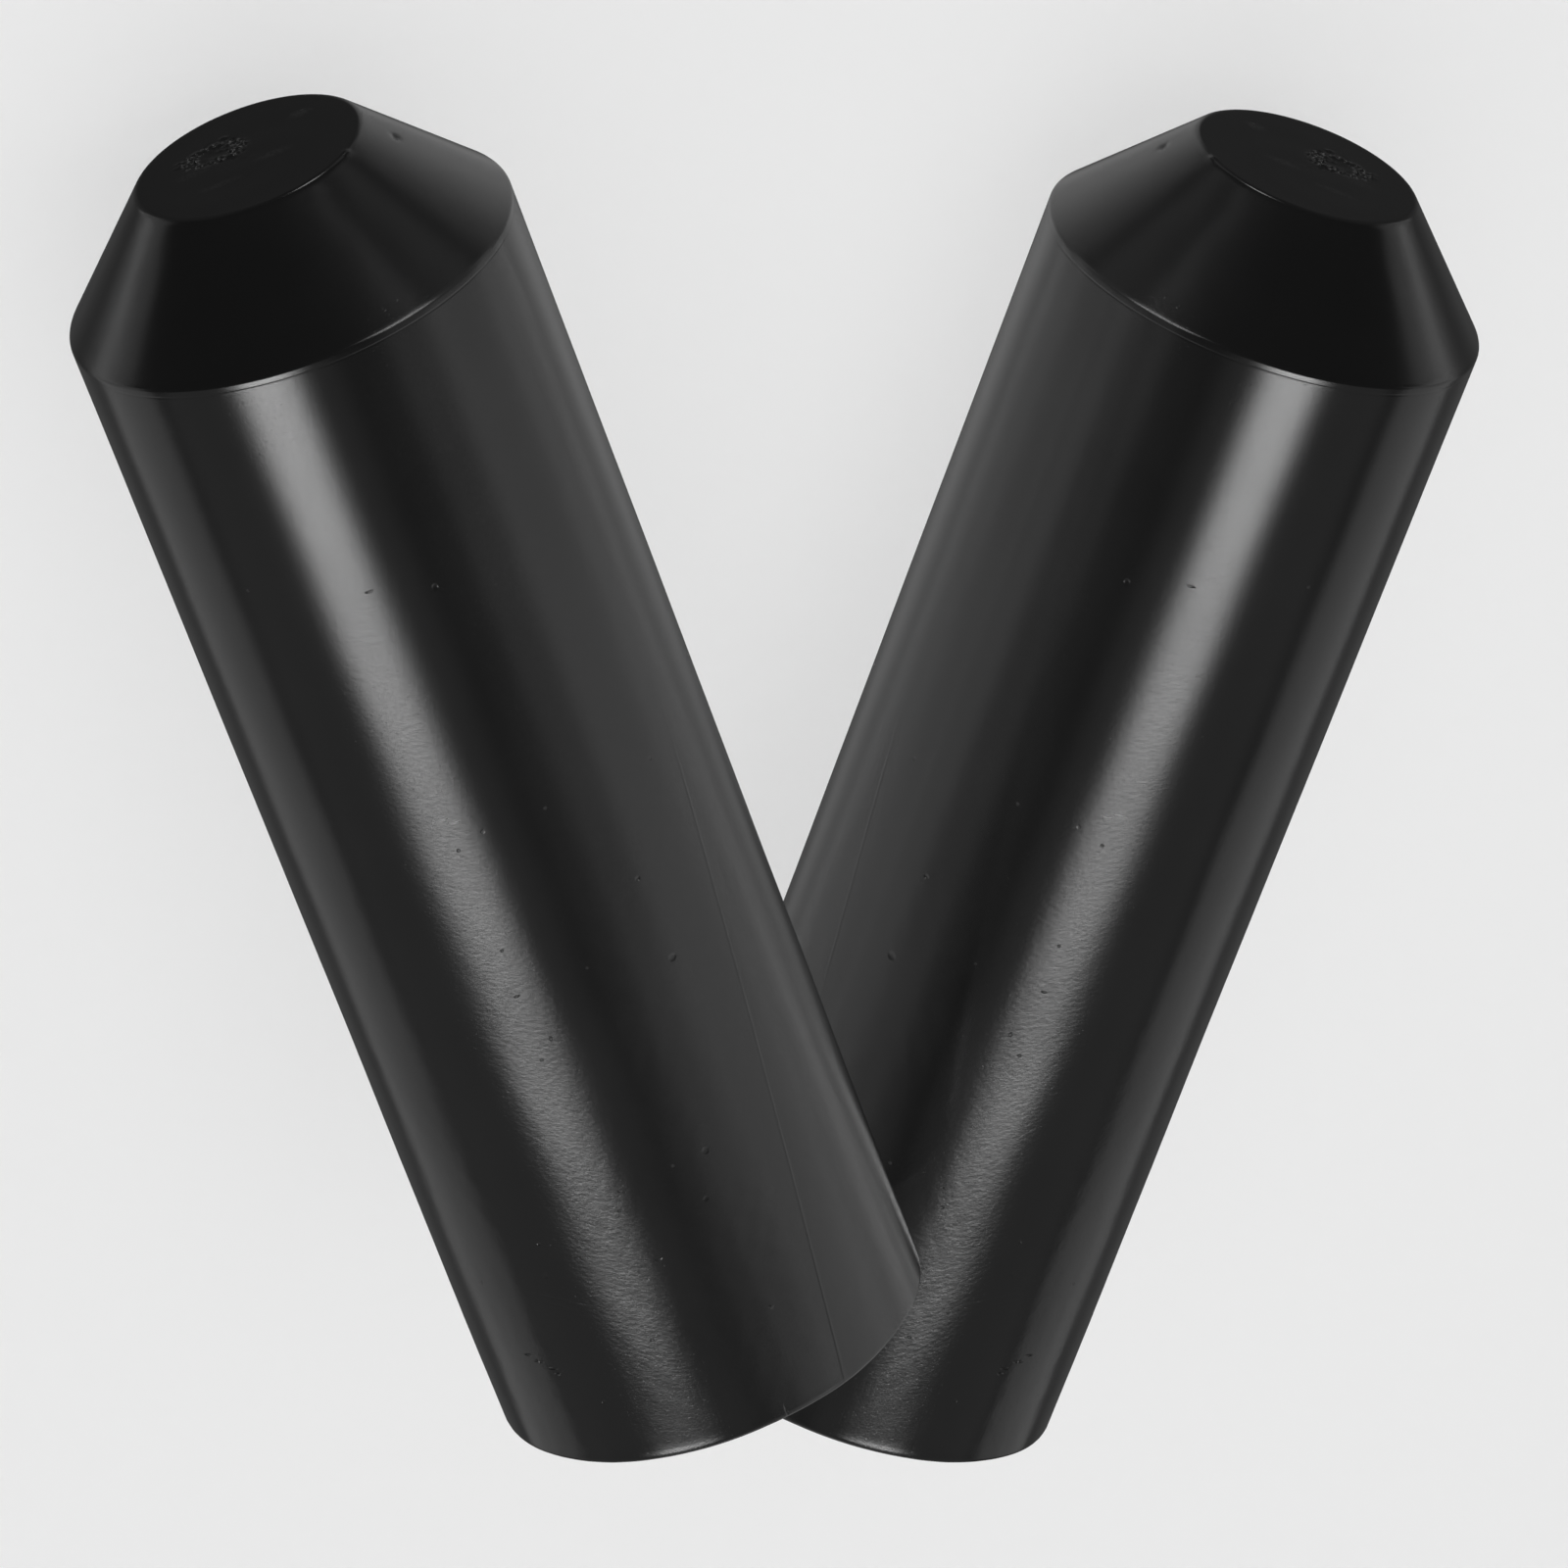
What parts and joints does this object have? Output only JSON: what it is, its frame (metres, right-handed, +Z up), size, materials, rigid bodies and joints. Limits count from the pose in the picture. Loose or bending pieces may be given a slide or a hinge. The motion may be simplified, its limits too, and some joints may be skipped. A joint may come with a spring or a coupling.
{
  "type": "heat-shrink cable end caps",
  "caption": "Heat-shrink cable end caps: open sleeve closed by a tapered, flat-tipped end and lined with a spiral of hot-melt adhesive, to seal the ends of cables.",
  "frame": {"origin": "bottom centre of the box around both caps, on the floor they lie on", "axes": "+Z up; +Y from the crossing mouths towards the tips, along the middle of the V; the lower cap is on the +X side"},
  "size_m": [0.1409, 0.1557, 0.0668],
  "materials": {
    "shell": "satin black cross-linked polyolefin with a faint orange peel",
    "adhesive": "waxy amber hot-melt adhesive"
  },
  "bodies": {
    "lower_cap": {"lower_cap_shell": "shell", "lower_cap_adhesive": "adhesive"},
    "upper_cap": {"upper_cap_shell": "shell", "upper_cap_adhesive": "adhesive"}
  },
  "joints": [
    {"name": "upper_cap_lift", "type": "slide", "parent": "lower_cap", "child": "upper_cap", "axis": [0, 0, 1], "range_m": [0, 0.06]}
  ]
}
